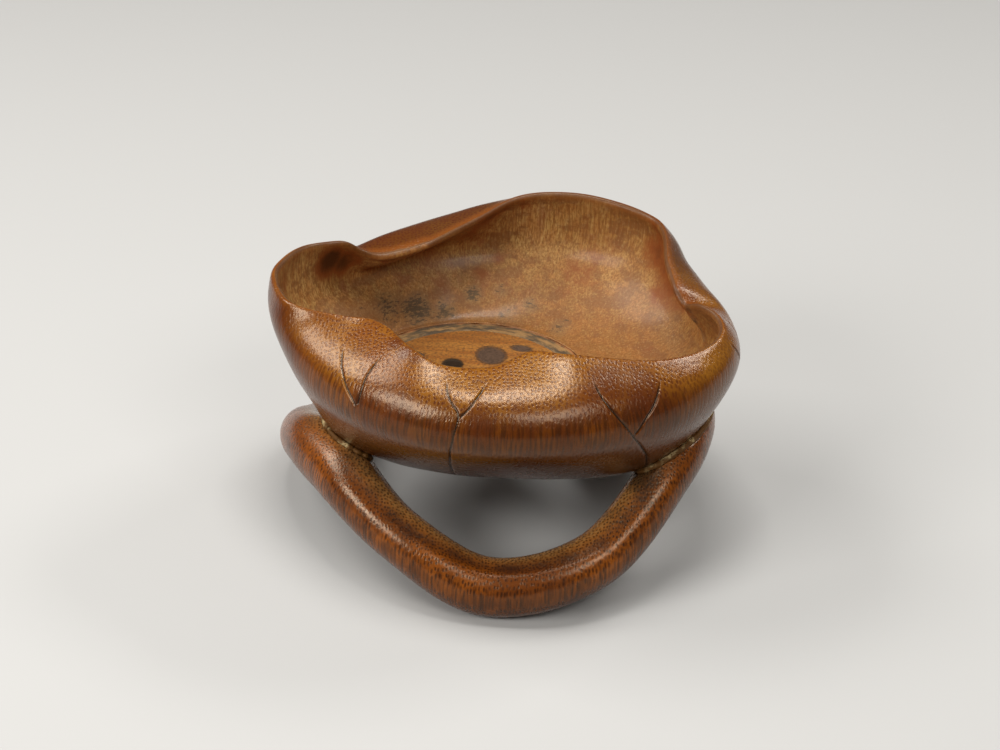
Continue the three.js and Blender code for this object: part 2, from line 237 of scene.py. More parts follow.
def select_near(piece, points, reach):
    """Selects the faces that lie within a reach of some points."""
    near = KDTree(len(points))
    for i, p in enumerate(points):
        near.insert(p, i)
    near.balance()
    bpy.ops.object.mode_set(mode="EDIT")
    bpy.ops.mesh.select_all(action="DESELECT")
    bpy.ops.object.mode_set(mode="OBJECT")
    for face in piece.data.polygons:
        face.select = near.find(face.center)[2] < reach


def carve_veins(leaf):
    tree = BVHTree.FromObject(leaf, bpy.context.evaluated_depsgraph_get())
    lines = [sampled(line, tree) for line in VEINS]
    for angle, lean in HIDDEN_VEINS:
        lines += [sampled(line, tree) for line in forked_vein(tree, angle, lean)]
    cut = [pair for line in lines for pair in line]
    only(leaf)
    select_near(leaf, [p for p, _ in cut], 1.3 * MM)
    bpy.ops.object.mode_set(mode="EDIT")
    bpy.ops.mesh.subdivide(number_cuts=3)
    bpy.ops.object.mode_set(mode="OBJECT")
    near = KDTree(len(cut))
    for i, (p, _) in enumerate(cut):
        near.insert(p, i)
    near.balance()
    marks = []

    def groove(_, p, n):
        _, i, gap = near.find(p * MM)
        depth = cut[i][1]
        across = gap / MM / (VEIN_NARROW + VEIN_WIDENS * depth)
        marks.append(depth * max(0.0, min(1.0, 1.4 - across)))
        lip = VEIN_LIP * math.exp(-(((across - 2.2) / 0.6) ** 2))
        return n * (-VEIN_DEPTH * math.exp(-((across / 1.1) ** 2)) + lip) * depth

    moved(leaf, groove)
    return marks


def build_leaf():
    """The leaf with its floor's rebate left crisp and its veins cut."""
    leaf = from_node("leaf_bowl", "leaf")
    keep_sharp(leaf, lambda p: p.z < DISC_TOP + 0.2 and (p.xy - DISC_MIDDLE.xy).length < 31)
    smoothed(leaf, 2)
    paint(leaf, "vein", carve_veins(leaf))
    return leaf


def spotted(points, spots):
    """How far each point lies inside soft round blots; a blot is x, y, z, radius and strength."""
    marks = []
    for p in points:
        most = 0.0
        for x, y, z, reach, full in spots:
            gap = (p / MM - Vector((x, y, z))).length / reach
            if gap < 1:
                most = max(most, full * (1 - gap * gap))
        marks.append(most)
    return marks


# Charred and damp-darkened places in the hollow, and painted shade in the crease of the fold.
CHAR_AND_CREASE_SHADE_SPOTS = [
    # low on the wall at the left
    (-29, 29, 37, 7, 0.55), (-22, 32.5, 35.2, 6, 0.75), (-15, 34.5, 34, 5, 0.6), (-34, 24, 39, 6, 0.3),
    (-38, 8, 41, 6, 0.35),
    # at the back, above the putty
    (-8, 39, 36.6, 3.5, 0.7), (1, 34.6, 33.2, 5, 0.4), (-1.3, 40.3, 37.3, 3, 0.5),
    (6.5, 36.6, 35, 3.5, 0.5), (14, 29, 33, 4.5, 0.5),
    # at the right, and painted shade along the crease of the fold
    (30, 9, 34.6, 5, 0.5), (34, 3, 35.6, 4, 0.45), (43.2, 3.3, 53.3, 2, 0.6),
    (44.7, 3.9, 50.4, 2.2, 0.6), (46.1, 4.7, 47.9, 2.2, 0.55), (47.4, 4, 45.9, 2, 0.5),
]
# Red-brown stains in the hollow.
RUST_SPOTS = [
    # under the notch at the left
    (-39.4, 26.6, 51.5, 6, 0.8), (-43, 21, 54.5, 5, 0.5), (-43, 23, 52.7, 6.5, 1.0),
    (-40, 26.5, 50.5, 5, 0.9), (-33.7, 32.8, 48, 5, 0.45), (-30.9, 30.4, 53, 5, 0.6),
    (-49, 4, 55, 8, 0.35), (-25, 36, 52, 7, 0.7),
    # below the rolled back rim
    (-19.3, 40.6, 50.2, 8, 0.7), (-9.3, 44.3, 52, 8, 0.55), (-4.5, 42.3, 57, 6, 0.8), (-1, 45, 58, 6, 0.75),
    (3.6, 46.1, 58.4, 5, 0.6), (-1.6, 46.1, 43.4, 2.5, 0.6), (-6.5, 43.6, 41, 2.5, 0.5),
    (20, 42, 44, 10, 0.3),
    # down the folds at the right
    (36.2, 36.5, 59.8, 5, 0.65), (38, 36.5, 55, 6, 0.6), (38, 35.5, 55.5, 6, 0.65), (37.5, 36, 52, 7, 0.7),
    (37.2, 34.5, 49, 5, 0.65), (38.8, 33.5, 49, 6, 0.7), (38.9, 30.6, 46, 4, 0.5), (40, 29.5, 45.5, 6, 0.65),
    (39.5, 26, 43, 5, 0.5), (40.5, 24, 45, 5, 0.4), (41, 20, 46, 5, 0.5), (39.5, 19, 53, 5, 0.6),
    (41, 12, 50, 5, 0.7), (40.5, 7.5, 56.2, 2.5, 1.0), (42, 5, 51, 5, 0.7), (44, 2, 47, 5, 0.5),
]
# Where the outside is darker: age and handling, and painted shade.
PATINA_AND_SHADE_SPOTS = [
    # the right of the shoulder, painted shade
    (24.5, -38, 55.6, 8, 0.75), (31.3, -37.7, 53.1, 9, 0.9), (36, -36.7, 50.2, 8, 0.7),
    (21.4, -42.2, 53.6, 7, 0.7),
    # the front below the shoulder, partly painted shade
    (12.8, -47, 50.6, 8, 0.7), (4.3, -48.5, 50.4, 8, 0.75), (-4.3, -48.3, 50.6, 8, 0.75),
    (-13, -46.9, 50.6, 8, 0.7), (-21.7, -43.9, 50.5, 8, 0.65), (-28.5, -40, 50.6, 7, 0.6),
    (4, -44, 34, 16, 0.6),
    # the left side, painted shade
    (-52.1, -12.9, 55.4, 10, 0.7), (-49.4, -17.7, 50.3, 9, 0.7), (-45.5, -22.9, 45.6, 8, 0.5),
    (-51, 2, 54, 12, 0.6), (-53, -16, 44, 10, 0.6), (-44, -30, 38, 9, 0.4), (-54, -4, 57, 7, 0.9),
    (-54.5, 4, 57, 7, 0.8), (-52, -12, 57, 6, 0.8),
    # the back, painted shade
    (10, 47, 58, 16, 0.4), (-30, 38, 55, 16, 0.6), (-14, 46, 57, 12, 0.6),
    # the lips of the two notches
    (40.5, 7.5, 56.2, 3, 1.0), (42.8, 5.9, 54.9, 3, 0.9), (-21.4, -32.5, 59.4, 3, 0.9),
    (-23.5, -29, 59.6, 3, 0.9), (-19, -34.6, 59.2, 2.5, 0.7),
]


def in_hollow(leaf):
    """1 at each point above the floor that sees the middle of the hollow past every wall, 0 elsewhere."""
    tree = BVHTree.FromObject(leaf, bpy.context.evaluated_depsgraph_get())
    heart = (LEAF_AXIS + Vector((0, 0, 40))) * MM
    inside = []
    for v in leaf.data.vertices:
        start = v.co + v.normal * 0.05 * MM
        way = heart - start
        hit = tree.ray_cast(start, way.normalized(), way.length)[0]
        inside.append(0.0 if hit is not None or v.co.z < (DISC_TOP - 0.1) * MM else 1.0)
    return inside


def from_rim(leaf, inside, lowest=45, farthest=30.0):
    """How far each point lies from the rim, where the hollow meets the outside, in mm."""
    points = [v.co.copy() for v in leaf.data.vertices]
    crest = KDTree(len(points))
    for edge in leaf.data.edges:
        a, b = edge.vertices
        if inside[a] != inside[b] and points[a].z > lowest * MM:
            crest.insert(points[a], a)
    crest.balance()
    return [min(crest.find(p)[2] / MM, farthest) for p in points]


def paint_leaf(leaf):
    """Marks the hollow, how near each point is to the rim, the stains, and the painted shade."""
    points = [v.co.copy() for v in leaf.data.vertices]
    inside = in_hollow(leaf)
    paint(leaf, "hollow", blurred(leaf, inside, 2))
    paint(leaf, "rim_mm", from_rim(leaf, inside))
    paint(leaf, "char", spotted(points, CHAR_AND_CREASE_SHADE_SPOTS))
    paint(leaf, "rust", spotted(points, RUST_SPOTS))
    paint(leaf, "patina_and_shade", spotted(points, PATINA_AND_SHADE_SPOTS))


leaf = build_leaf()
paint_leaf(leaf)


# Stalk

RING_MIDDLE = Vector((-0.54, -1.31, 0))
# Degrees round the ring between the places where the stalk's middle is read.
READ_EVERY = 4
# The furrow: how deep it is, its place round the stalk's section, and where along the ring it lies.
FURROW_DEPTH = 0.4
FURROW_UP = 70
FURROW_AT = 272
# Dark stains on the right arm, then on the left.
STALK_SPOTS = [
    (32.5, -32, 29.5, 6.5, 1.0), (36.5, -27, 32, 5, 0.6), (28, -40, 24, 7, 0.6), (35, -37, 26, 6, 0.6),
    (28, -42.3, 20, 6, 0.5),
    (-33, -27, 28, 6, 0.6), (-30, -22, 27, 7, 0.8), (-29, -29.5, 26.5, 6, 0.6), (-27, -34.4, 24.4, 4, 0.6),
    (-22.8, -39.5, 21, 4, 0.6), (-20, -43, 18.5, 8, 0.45), (-18, -43.2, 18.5, 4, 0.5),
]


def apart(a, b):
    """From b to a round a circle in degrees, the short way."""
    return (a - b + 180) % 360 - 180


def middle_line(points):
    """The middle of the stalk's section, as its distance out and its height, all round the ring."""
    turns = [math.degrees(math.atan2(p.y, p.x)) for p in points]
    run = []
    for step in range(0, 360, READ_EVERY):
        near = [p for p, turn in zip(points, turns) if abs(apart(turn, step)) < 3.4]
        reach = [math.hypot(p.x, p.y) for p in near]
        heights = [p.z for p in near]
        run.append(((min(reach) + max(reach)) / 2, (min(heights) + max(heights)) / 2))
    return run


def build_stalk():
    """The stalk with the shallow furrow that runs along its upper inner side."""
    stalk = from_node("stalk_foot", "stalk")
    run = middle_line([v.co / MM - RING_MIDDLE for v in stalk.data.vertices])
    smoothed(stalk, 2)
    furrow, strip = [], []

    def hollowed(_, place, n):
        p = place - RING_MIDDLE
        turn = math.degrees(math.atan2(p.y, p.x)) % 360
        i = int(turn / READ_EVERY)
        part = turn / READ_EVERY - i
        here, following = run[i], run[(i + 1) % len(run)]
        r = here[0] * (1 - part) + following[0] * part
        z = here[1] * (1 - part) + following[1] * part
        round_it = math.degrees(math.atan2(p.z - z, math.hypot(p.x, p.y) - r))
        wander = 5 * math.sin(math.radians(3 * turn)) + 3 * math.sin(math.radians(7 * turn + 40))
        off = apart(round_it - FURROW_UP - wander, 0)
        along = math.exp(-((apart(turn, FURROW_AT) / 50) ** 4))
        furrow.append(math.exp(-((off / 13) ** 2)) * along)
        strip.append(math.exp(-(((off - 36) / 24) ** 2)))
        return n * -FURROW_DEPTH * furrow[-1]

    moved(stalk, hollowed)
    paint(stalk, "furrow", furrow)
    paint(stalk, "strip", strip)
    paint(stalk, "char", spotted([v.co.copy() for v in stalk.data.vertices], STALK_SPOTS))
    return stalk


stalk = build_stalk()


# Floor disc

DISC_RADIUS = 24.6
DISC_THICK = 3.6
# How far the disc's edge is worn down, over the outermost ring of faces.
WORN_EDGE = 0.3
# The dark eyes in the slice: x and y, half widths along and across, and turn in degrees.
EYES = [
    (-2.8, 16.1, 4.1, 4.8, 8), (4.6, 20.1, 2.9, 1.7, -12), (-12, 11.2, 2.7, 2.2, -8),
    (-20.2, 14.8, 1.3, 1.1, 0),
]
EYE_DEPTH = 0.22
# The third eye is burnt black.
BURN = [(-12, 11.2, DISC_TOP, 3.6, 1.2)]


def turned_slice():
    """The plain round slice, its top cut into narrow rings of faces, with more of them at the eyes."""
    bpy.ops.object.select_all(action="DESELECT")
    bpy.ops.mesh.primitive_cylinder_add(
        vertices=96, radius=DISC_RADIUS * MM, depth=DISC_THICK * MM, location=(0, 0, 0), end_fill_type="NGON"
    )
    disc = bpy.context.active_object
    disc.name = "disc"
    disc.data.transform(Matrix.Translation((DISC_MIDDLE - Vector((0, 0, DISC_THICK / 2))) * MM))
    only(disc)
    bpy.ops.object.mode_set(mode="EDIT")
    bpy.ops.mesh.select_all(action="DESELECT")
    bpy.ops.object.mode_set(mode="OBJECT")
    for face in disc.data.polygons:
        face.select = face.normal.z > 0.9
    bpy.ops.object.mode_set(mode="EDIT")
    bpy.ops.mesh.inset(thickness=0.25 * MM)
    for _ in range(27):
        bpy.ops.mesh.inset(thickness=0.87 * MM)
    bpy.ops.mesh.select_more()
    bpy.ops.object.mode_set(mode="OBJECT")
    edge = DISC_RADIUS - 0.1
    worn = Vector((0, 0, -WORN_EDGE))
    moved(disc, lambda _, p, n: worn if p.z > 31.9 and (p.xy - DISC_MIDDLE.xy).length > edge else Vector())
    select_near(disc, [Vector((x, y, DISC_TOP)) * MM for x, y, *_ in EYES], 7.2 * MM)
    for face in disc.data.polygons:
        face.select = face.select and face.normal.z > 0.9
    bpy.ops.object.mode_set(mode="EDIT")
    bpy.ops.mesh.subdivide(number_cuts=1)
    bpy.ops.object.mode_set(mode="OBJECT")
    return disc


def build_disc():
    """The slice with its top a little uneven and its eyes shrunk below the rest."""
    disc = turned_slice()
    marks = []

    def pressed(_, p, n):
        inside = 0.0
        for x, y, wide, deep, turn in EYES:
            c, s = math.cos(math.radians(turn)), math.sin(math.radians(turn))
            u, w = (p.x - x) * c + (p.y - y) * s, (p.y - y) * c - (p.x - x) * s
            inside = max(inside, 1.0 - math.hypot(u / wide, w / deep))
        marks.append(inside)
        if p.z < 31.6 or (p.xy - DISC_MIDDLE.xy).length > DISC_RADIUS - 0.3:
            return Vector()
        swell = noise.noise(p * 0.13) * 0.1 - 0.05
        return Vector((0, 0, swell - EYE_DEPTH * min(1.0, max(0.0, inside * 4))))

    moved(disc, pressed)
    paint(disc, "eye", marks)
    paint(disc, "char", spotted([v.co.copy() for v in disc.data.vertices], BURN))
    only(disc)
    bpy.ops.object.shade_smooth_by_angle(angle=0.6)
    return disc


disc = build_disc()


# Seam and glue

# How far the putty is spread over the outer and the inner edge of its groove.
SPREAD_OUT = 0.45
SPREAD_IN = 0.36
# How far the glue swells out of the seats where nothing stops it.
GLUE_SWELL = 0.75


def build_seam():
    """Lacquer putty pressed in by hand, so that its face is uneven."""
    seam = from_node("floor_seam", "seam")
    smoothed(seam, 2)

    def kneaded(_, p, n):
        out = p.xy - DISC_MIDDLE.xy
        side = SPREAD_OUT if out.length > 26.7 else -SPREAD_IN if out.length < 25.6 else 0.0
        side *= 1 + 0.2 * noise.noise(p * 0.3)
        rise = noise.noise(p * 0.35) * 0.35 + noise.noise(p * 1.1) * 0.14 - 0.1 if p.z > 31.3 else 0.0
        rise += 0.3 if p.z > 31.3 and out.length > 27 else 0.0
        return (out.normalized() * side).to_3d() + Vector((0, 0, rise))

    moved(seam, kneaded)
    return seam


def build_glue(side):
    """Old glue squeezed into the seat: swollen until it meets the wood on both sides."""
    glue = from_node("seat_glue_" + side, "glue_" + side)
    smoothed(glue, 2)
    ready = bpy.context.evaluated_depsgraph_get()
    walls = [BVHTree.FromObject(piece, ready) for piece in (leaf, stalk)]

    def squeezed(_, p, n):
        room = GLUE_SWELL + 0.15 * noise.noise(p * 0.4) + 0.05 * noise.noise(p * 1.7)
        for wall in walls:
            far = wall.ray_cast(p * MM, n, 2 * MM)[3]
            if far is not None:
                room = min(room, max(0.0, far / MM - 0.02))
        return n * room

    moved(glue, squeezed)
    return glue


seam = build_seam()
glues = {side: build_glue(side) for side in ("left", "right")}


# Materials

# Every pattern's range starts and ends gently.
EASED = {"interpolation_type": "SMOOTHSTEP"}
# Sizes of the pattern's cells in mm. Scattered cells look wider apart than they are, so these are a
# little under the 1.1 mm or so between real bundles; nearer the root, on the stalk, they lie closer.
LEAF_BUNDLES = 0.88
STALK_BUNDLES = 0.76
# About the radius of the walls, which turns an angle round the axis into mm along a wall.
WALL_RADIUS = 48


def colour(text):
    """An sRGB hex value as linear light."""
    parts = [int(text[i : i + 2], 16) / 255 for i in (1, 3, 5)]
    return [p / 12.92 if p <= 0.04045 else ((p + 0.055) / 1.055) ** 2.4 for p in parts] + [1]


def node(tree, kind, inputs=None, **settings):
    """Adds a node with its settings. An input is a value, a hex colour, a node or one output of a node."""
    made = tree.nodes.new(kind)
    for key, value in settings.items():
        setattr(made, key, value)
    for key, value in (inputs or {}).items():
        if isinstance(value, bpy.types.Node):
            value = next(socket for socket in value.outputs if socket.enabled)
        if isinstance(value, bpy.types.NodeSocket):
            tree.links.new(value, made.inputs[key])
        else:
            made.inputs[key].default_value = colour(value) if isinstance(value, str) else value
    return made


def new_material(name):
    """An empty material, with the function that adds a node tied to it."""
    material = bpy.data.materials.new(name)
    material.use_nodes = True
    material.node_tree.nodes.clear()
    return material, partial(node, material.node_tree)


def place_in_mm(add):
    place = add("ShaderNodeTexCoord").outputs["Object"]
    return add("ShaderNodeVectorMath", {0: place, 1: (1 / MM,) * 3}, operation="MULTIPLY")


def stained(add, tone, *stains):
    """Lays stains over a tone, one after another.

    A stain is its colour, the pattern it follows, two values of that pattern, how thick it lies at
    each of the two, and then any masks that thin it.
    """
    for hue, pattern, low, high, at_low, at_high, *masks in stains:
        thick = add("ShaderNodeMapRange", {0: pattern, 1: low, 2: high, 3: at_low, 4: at_high}, **EASED)
        for mask in masks:
            thick = add("ShaderNodeMath", {0: thick, 1: mask}, operation="MULTIPLY")
        tone = add("ShaderNodeMix", {0: thick, 6: tone, 7: hue}, data_type="RGBA")
    return tone


def handled(material, add, tone, rough, relief, depth, coat, coat_rough=0.25, gloss=0.34):
    """The surface of an old, handled piece: warm reflections under a thin coat of wax; depth is in mm."""
    bump = add("ShaderNodeBump", {"Height": relief, "Strength": 1.0, "Distance": depth * MM})
    settings = {
        "Base Color": tone, "Roughness": rough, "Normal": bump, "IOR": 1.5, "Specular IOR Level": gloss,
        "Specular Tint": (1, 0.78, 0.52, 1), "Coat Weight": coat, "Coat Roughness": coat_rough,
    }
    add("ShaderNodeOutputMaterial", {"Surface": add("ShaderNodeBsdfPrincipled", settings)})
    return material


def bundles(add, mm, pitch, dark, pale):
    """Fibre bundles of the bamboo, upright in the flesh, a pitch apart: dots on flats, streaks on walls."""
    wander = add("ShaderNodeTexNoise", {"Vector": mm, "Scale": 0.07, "Detail": 2.0}).outputs["Color"]
    off = add("ShaderNodeVectorMath", {0: wander, 1: (0.5,) * 3}, operation="SUBTRACT")
    sideways = add("ShaderNodeVectorMath", {0: off, 1: (2, 2, 0)}, operation="MULTIPLY")
    bent = add("ShaderNodeVectorMath", {0: mm, 1: sideways}, operation="ADD")
    spacing = {"Vector": bent, "Scale": 1 / pitch, "Randomness": 0.7}
    cells = add("ShaderNodeTexVoronoi", spacing, voronoi_dimensions="2D")
    spot = add("ShaderNodeMapRange", {0: cells.outputs["Distance"], 1: dark, 2: pale, 3: 1, 4: 0}, **EASED)
    own = add("ShaderNodeSeparateColor", {0: cells.outputs["Color"]})
    strong = add("ShaderNodeMapRange", {0: own, 1: 0, 2: 1, 3: 0.6, 4: 1}, **EASED)
    dots = add("ShaderNodeMath", {0: spot, 1: strong}, operation="MULTIPLY")
    # single fibres 0.3 mm thick and 4 mm long
    drawn_out = add("ShaderNodeVectorMath", {0: bent, 1: (3.4, 3.4, 0.25)}, operation="MULTIPLY")
    fibres = add("ShaderNodeTexNoise", {"Vector": drawn_out, "Scale": 1.0, "Detail": 3.0})
    return dots, fibres


def wall_lines(add, mm, middle, per_mm):
    """The bundles where a wall is cut along them: upright lines all the way round, and where it is steep."""
    x, y, z = add("ShaderNodeSeparateXYZ", {0: mm}).outputs
    north = add("ShaderNodeMath", {0: y, 1: middle.y}, operation="SUBTRACT")
    east = add("ShaderNodeMath", {0: x, 1: middle.x}, operation="SUBTRACT")
    turn = add("ShaderNodeMath", {0: north, 1: east}, operation="ARCTAN2")
    along = add("ShaderNodeMath", {0: turn, 1: WALL_RADIUS}, operation="MULTIPLY")
    upward = add("ShaderNodeMath", {0: z, 1: 0.07}, operation="MULTIPLY")
    unrolled = add("ShaderNodeCombineXYZ", {0: along, 1: upward})
    lines = add("ShaderNodeTexNoise", {"Vector": unrolled, "Scale": per_mm, "Detail": 2.0})
    faces = add("ShaderNodeSeparateXYZ", {0: add("ShaderNodeNewGeometry").outputs["Normal"]}).outputs["Z"]
    tilt = add("ShaderNodeMath", {0: faces}, operation="ABSOLUTE")
    return lines, add("ShaderNodeMapRange", {0: tilt, 1: 0.3, 2: 0.72, 3: 1, 4: 0}, **EASED)


def leaf_patterns(add):
    """The patterns that the outside and the hollow of the leaf share."""
    mm = place_in_mm(add)
    x, y, z = add("ShaderNodeSeparateXYZ", {0: mm}).outputs
    dots, fibres = bundles(add, mm, LEAF_BUNDLES, 0.2, 0.46)
    lines, steep = wall_lines(add, mm, LEAF_AXIS, 1.8)
    # clouds 20 mm wide, patches of 6 mm, and a speckle of 0.8 mm: the real pores would be too fine to show
    clouds = add("ShaderNodeTexNoise", {"Vector": mm, "Scale": 0.05, "Detail": 4.0, "Roughness": 0.6})
    tall = add("ShaderNodeVectorMath", {0: mm, 1: (1, 1, 0.7)}, operation="MULTIPLY")
    patches = add("ShaderNodeTexNoise", {"Vector": tall, "Scale": 0.16, "Detail": 5.0, "Roughness": 0.65})
    speckle = add("ShaderNodeTexNoise", {"Vector": mm, "Scale": 1.3, "Detail": 3.0, "Roughness": 0.6})
    uneven = add("ShaderNodeMath", {0: patches, 1: 0.5}, operation="SUBTRACT")
    return SimpleNamespace(
        mm=mm, x=x, y=y, z=z, dots=dots, fibres=fibres, lines=lines, steep=steep, clouds=clouds,
        patches=patches, speckle=speckle, uneven=uneven,
    )


def leaf_outside(add, seen):
    """Orange-brown skin. Its bundles are strong on the shoulder, and faint low down and on the two flanks."""
    aside = add("ShaderNodeMath", {0: seen.x}, operation="ABSOLUTE")
    flank = add("ShaderNodeMapRange", {0: aside, 1: 35, 2: 47, 3: 1, 4: 0.45}, **EASED)
    high = add("ShaderNodeMapRange", {0: seen.z, 1: 38, 2: 47, 3: 0.22, 4: 1}, **EASED)
    level = add("ShaderNodeMapRange", {0: seen.steep, 1: 0, 2: 1, 3: 0.9, 4: 0.5}, **EASED)
    # painted shade: the steep walls are made darker than the level shoulder, which the light from above falls
    # on
    walls = add("ShaderNodeMath", {0: seen.steep, 1: 0.75}, operation="MULTIPLY")
    tone = stained(add, "#865412", ("#713d0a", seen.clouds, 0.38, 0.64, 0, 1))
    tone = add("ShaderNodeMix", {0: walls, 6: tone, 7: "#6e3404"}, data_type="RGBA")
    blotched = add("ShaderNodeMath", {0: seen.uneven, 1: 0.8}, operation="MULTIPLY")
    # age and handling, with painted shade, from the spots painted on the leaf
    patina_and_shade = add("ShaderNodeAttribute", attribute_name="patina_and_shade").outputs["Fac"]
    aged_and_shaded = add("ShaderNodeMath", {0: patina_and_shade, 1: blotched}, operation="ADD")
    above = add("ShaderNodeMapRange", {0: seen.z, 1: 40, 2: 47, 3: 0.12, 4: 1}, **EASED)
    tone = stained(
        add, tone,
        # painted shade: darker towards the bottom of the belly
        ("#3a1803", seen.z, 30, 42, 0.9, 0),
        # painted shade: darker towards the back
        ("#4a2a10", seen.y, 0, 26, 0, 0.75),
        ("#4d2608", seen.fibres, 0.42, 0.66, 0, 0.3),
        ("#45230d", seen.patches, 0.56, 0.74, 0, 0.4),
        ("#4e1f04", aged_and_shaded, 0, 0.95, 0, 0.95),
        ("#2f1303", seen.lines, 0.46, 0.58, 0, 0.7, seen.steep, flank, above),
    )
    show = seen.dots
    for mask in (high, flank, level):
        show = add("ShaderNodeMath", {0: show, 1: mask}, operation="MULTIPLY")
    return add("ShaderNodeMix", {0: show, 6: tone, 7: "#491d06"}, data_type="RGBA")


def leaf_inside(add, seen):
    """Tan flesh worn by water, with fine upright fibres, brown and purplish mottling, rust and charring, and
    painted shade low down and in the crease of the fold.
    """
    made = []
    # mottling of 2.5 mm, blots of 8, grain of 0.6 and the torn edge of the char, of 1.7 mm
    for stretch, scale, detail, rough in (
        ((1, 1, 0.55), 0.4, 4.0, 0.6),
        ((0.8, 0.8, 1.6), 0.16, 5.0, 0.6),
        ((1.2, 1.2, 0.45), 1.5, 4.0, 0.7),
        ((0.6, 0.6, 1.8), 1.0, 6.0, 0.75),
    ):
        drawn = add("ShaderNodeVectorMath", {0: seen.mm, 1: stretch}, operation="MULTIPLY")
        settings = {"Vector": drawn, "Scale": scale, "Detail": detail, "Roughness": rough}
        made.append(add("ShaderNodeTexNoise", settings))
    mottle, blots, grain, broken = made
    tone = stained(
        add, "#b0884e",
        ("#9c743c", seen.clouds, 0.36, 0.66, 0, 1),
        # painted shade: darker towards the floor of the hollow
        ("#744a23", seen.z, 33, 48, 0.8, 0),
        ("#96602e", mottle, 0.4, 0.62, 0, 0.6),
        ("#704a38", seen.patches, 0.52, 0.7, 0, 0.5),
        ("#81501f", seen.x, 2, 42, 0, 0.5),
        ("#633a20", blots, 0.5, 0.6, 0, 0.6),
        ("#70431c", grain, 0.5, 0.62, 0, 0.7),
        ("#c9a56c", grain, 0.48, 0.34, 0, 0.2),
        ("#71431d", seen.fibres, 0.48, 0.62, 0, 0.65),
    )
    faint = add("ShaderNodeMath", {0: seen.dots, 1: 0.28}, operation="MULTIPLY")
    tone = add("ShaderNodeMix", {0: faint, 6: tone, 7: "#5b3516"}, data_type="RGBA")
    ragged = add("ShaderNodeMath", {0: seen.uneven, 1: 1.6}, operation="MULTIPLY")
    half_ragged = add("ShaderNodeMath", {0: ragged, 1: 0.5}, operation="MULTIPLY")
    stain = add("ShaderNodeAttribute", attribute_name="rust").outputs["Fac"]
    rust = add("ShaderNodeMath", {0: stain, 1: ragged}, operation="ADD")
    deep_rust = add("ShaderNodeMath", {0: stain, 1: half_ragged}, operation="ADD")
    torn = add("ShaderNodeMath", {0: broken, 1: 0.5}, operation="SUBTRACT")
    torn = add("ShaderNodeMath", {0: torn, 1: 2.6}, operation="MULTIPLY")
    # char and damp stains, with the painted shade in the fold's crease
    char_and_crease_shade = add("ShaderNodeAttribute", attribute_name="char").outputs["Fac"]
    char = add("ShaderNodeMath", {0: char_and_crease_shade, 1: torn}, operation="ADD")
    return stained(
        add, tone,
        ("#7a4a24", seen.speckle, 0.56, 0.7, 0, 0.5),
        ("#7b4a20", seen.lines, 0.5, 0.6, 0, 0.4, seen.steep),
        ("#783911", rust, 0.08, 0.75, 0, 0.88),
        ("#351705", deep_rust, 0.62, 1, 0, 0.85),
        ("#7d6242", char_and_crease_shade, 0.05, 0.7, 0, 0.45),
        ("#30281f", char, 0.4, 0.75, 0, 0.8),
    )


def leaf_material():
    """Polished bamboo root: a redder rubbed rim, a painted shade line just inside it, and near-black cut
    veins.
    """
    material, add = new_material("polished_bamboo_leaf")
    seen = leaf_patterns(add)
    within = add("ShaderNodeAttribute", attribute_name="hollow").outputs["Fac"]
    hollow = add("ShaderNodeMapRange", {0: within, 1: 0.3, 2: 0.7, 3: 0, 4: 1}, **EASED)
    sides = {0: hollow, 6: leaf_outside(add, seen), 7: leaf_inside(add, seen)}
    tone = add("ShaderNodeMix", sides, data_type="RGBA")
    rim = add("ShaderNodeAttribute", attribute_name="rim_mm").outputs["Fac"]
    vein = add("ShaderNodeAttribute", attribute_name="vein").outputs["Fac"]
    behind = add("ShaderNodeMapRange", {0: seen.y, 1: -22, 2: 12, 3: 0.15, 4: 1}, **EASED)
    tone = stained(
        add, tone,
        ("#7f4415", rim, 0.5, 2.8, 0.55, 0, behind),
        # painted shade: a dark line just inside the rim, where the lip curls over
        ("#3f1f0c", rim, 0.5, 1.5, 0.75, 0, hollow),
        ("#1e1008", vein, 0.15, 0.75, 0, 0.9),
    )
    worn = add("ShaderNodeMapRange", {0: hollow, 1: 0, 2: 1, 3: 0.55, 4: 0.25}, **EASED)
    pits = add("ShaderNodeMath", {0: seen.dots, 1: worn}, operation="MULTIPLY")
    ridges = add("ShaderNodeMath", {0: seen.fibres, 1: 0.5}, operation="MULTIPLY")
    relief = add("ShaderNodeMath", {0: ridges, 1: pits}, operation="SUBTRACT")
    grit = add("ShaderNodeMath", {0: seen.speckle, 1: 0.4}, operation="MULTIPLY")
    relief = add("ShaderNodeMath", {0: relief, 1: grit}, operation="ADD")
    waxed = add("ShaderNodeMapRange", {0: seen.patches, 1: 0.3, 2: 0.7, 3: 0.22, 4: 0.3}, **EASED)
    dull = add("ShaderNodeMapRange", {0: hollow, 1: 0, 2: 1, 3: 0, 4: 0.28}, **EASED)
    rough = add("ShaderNodeMath", {0: waxed, 1: dull}, operation="ADD")
    return handled(material, add, tone, rough, relief, depth=0.06, coat=0.12, coat_rough=0.18, gloss=0.44)


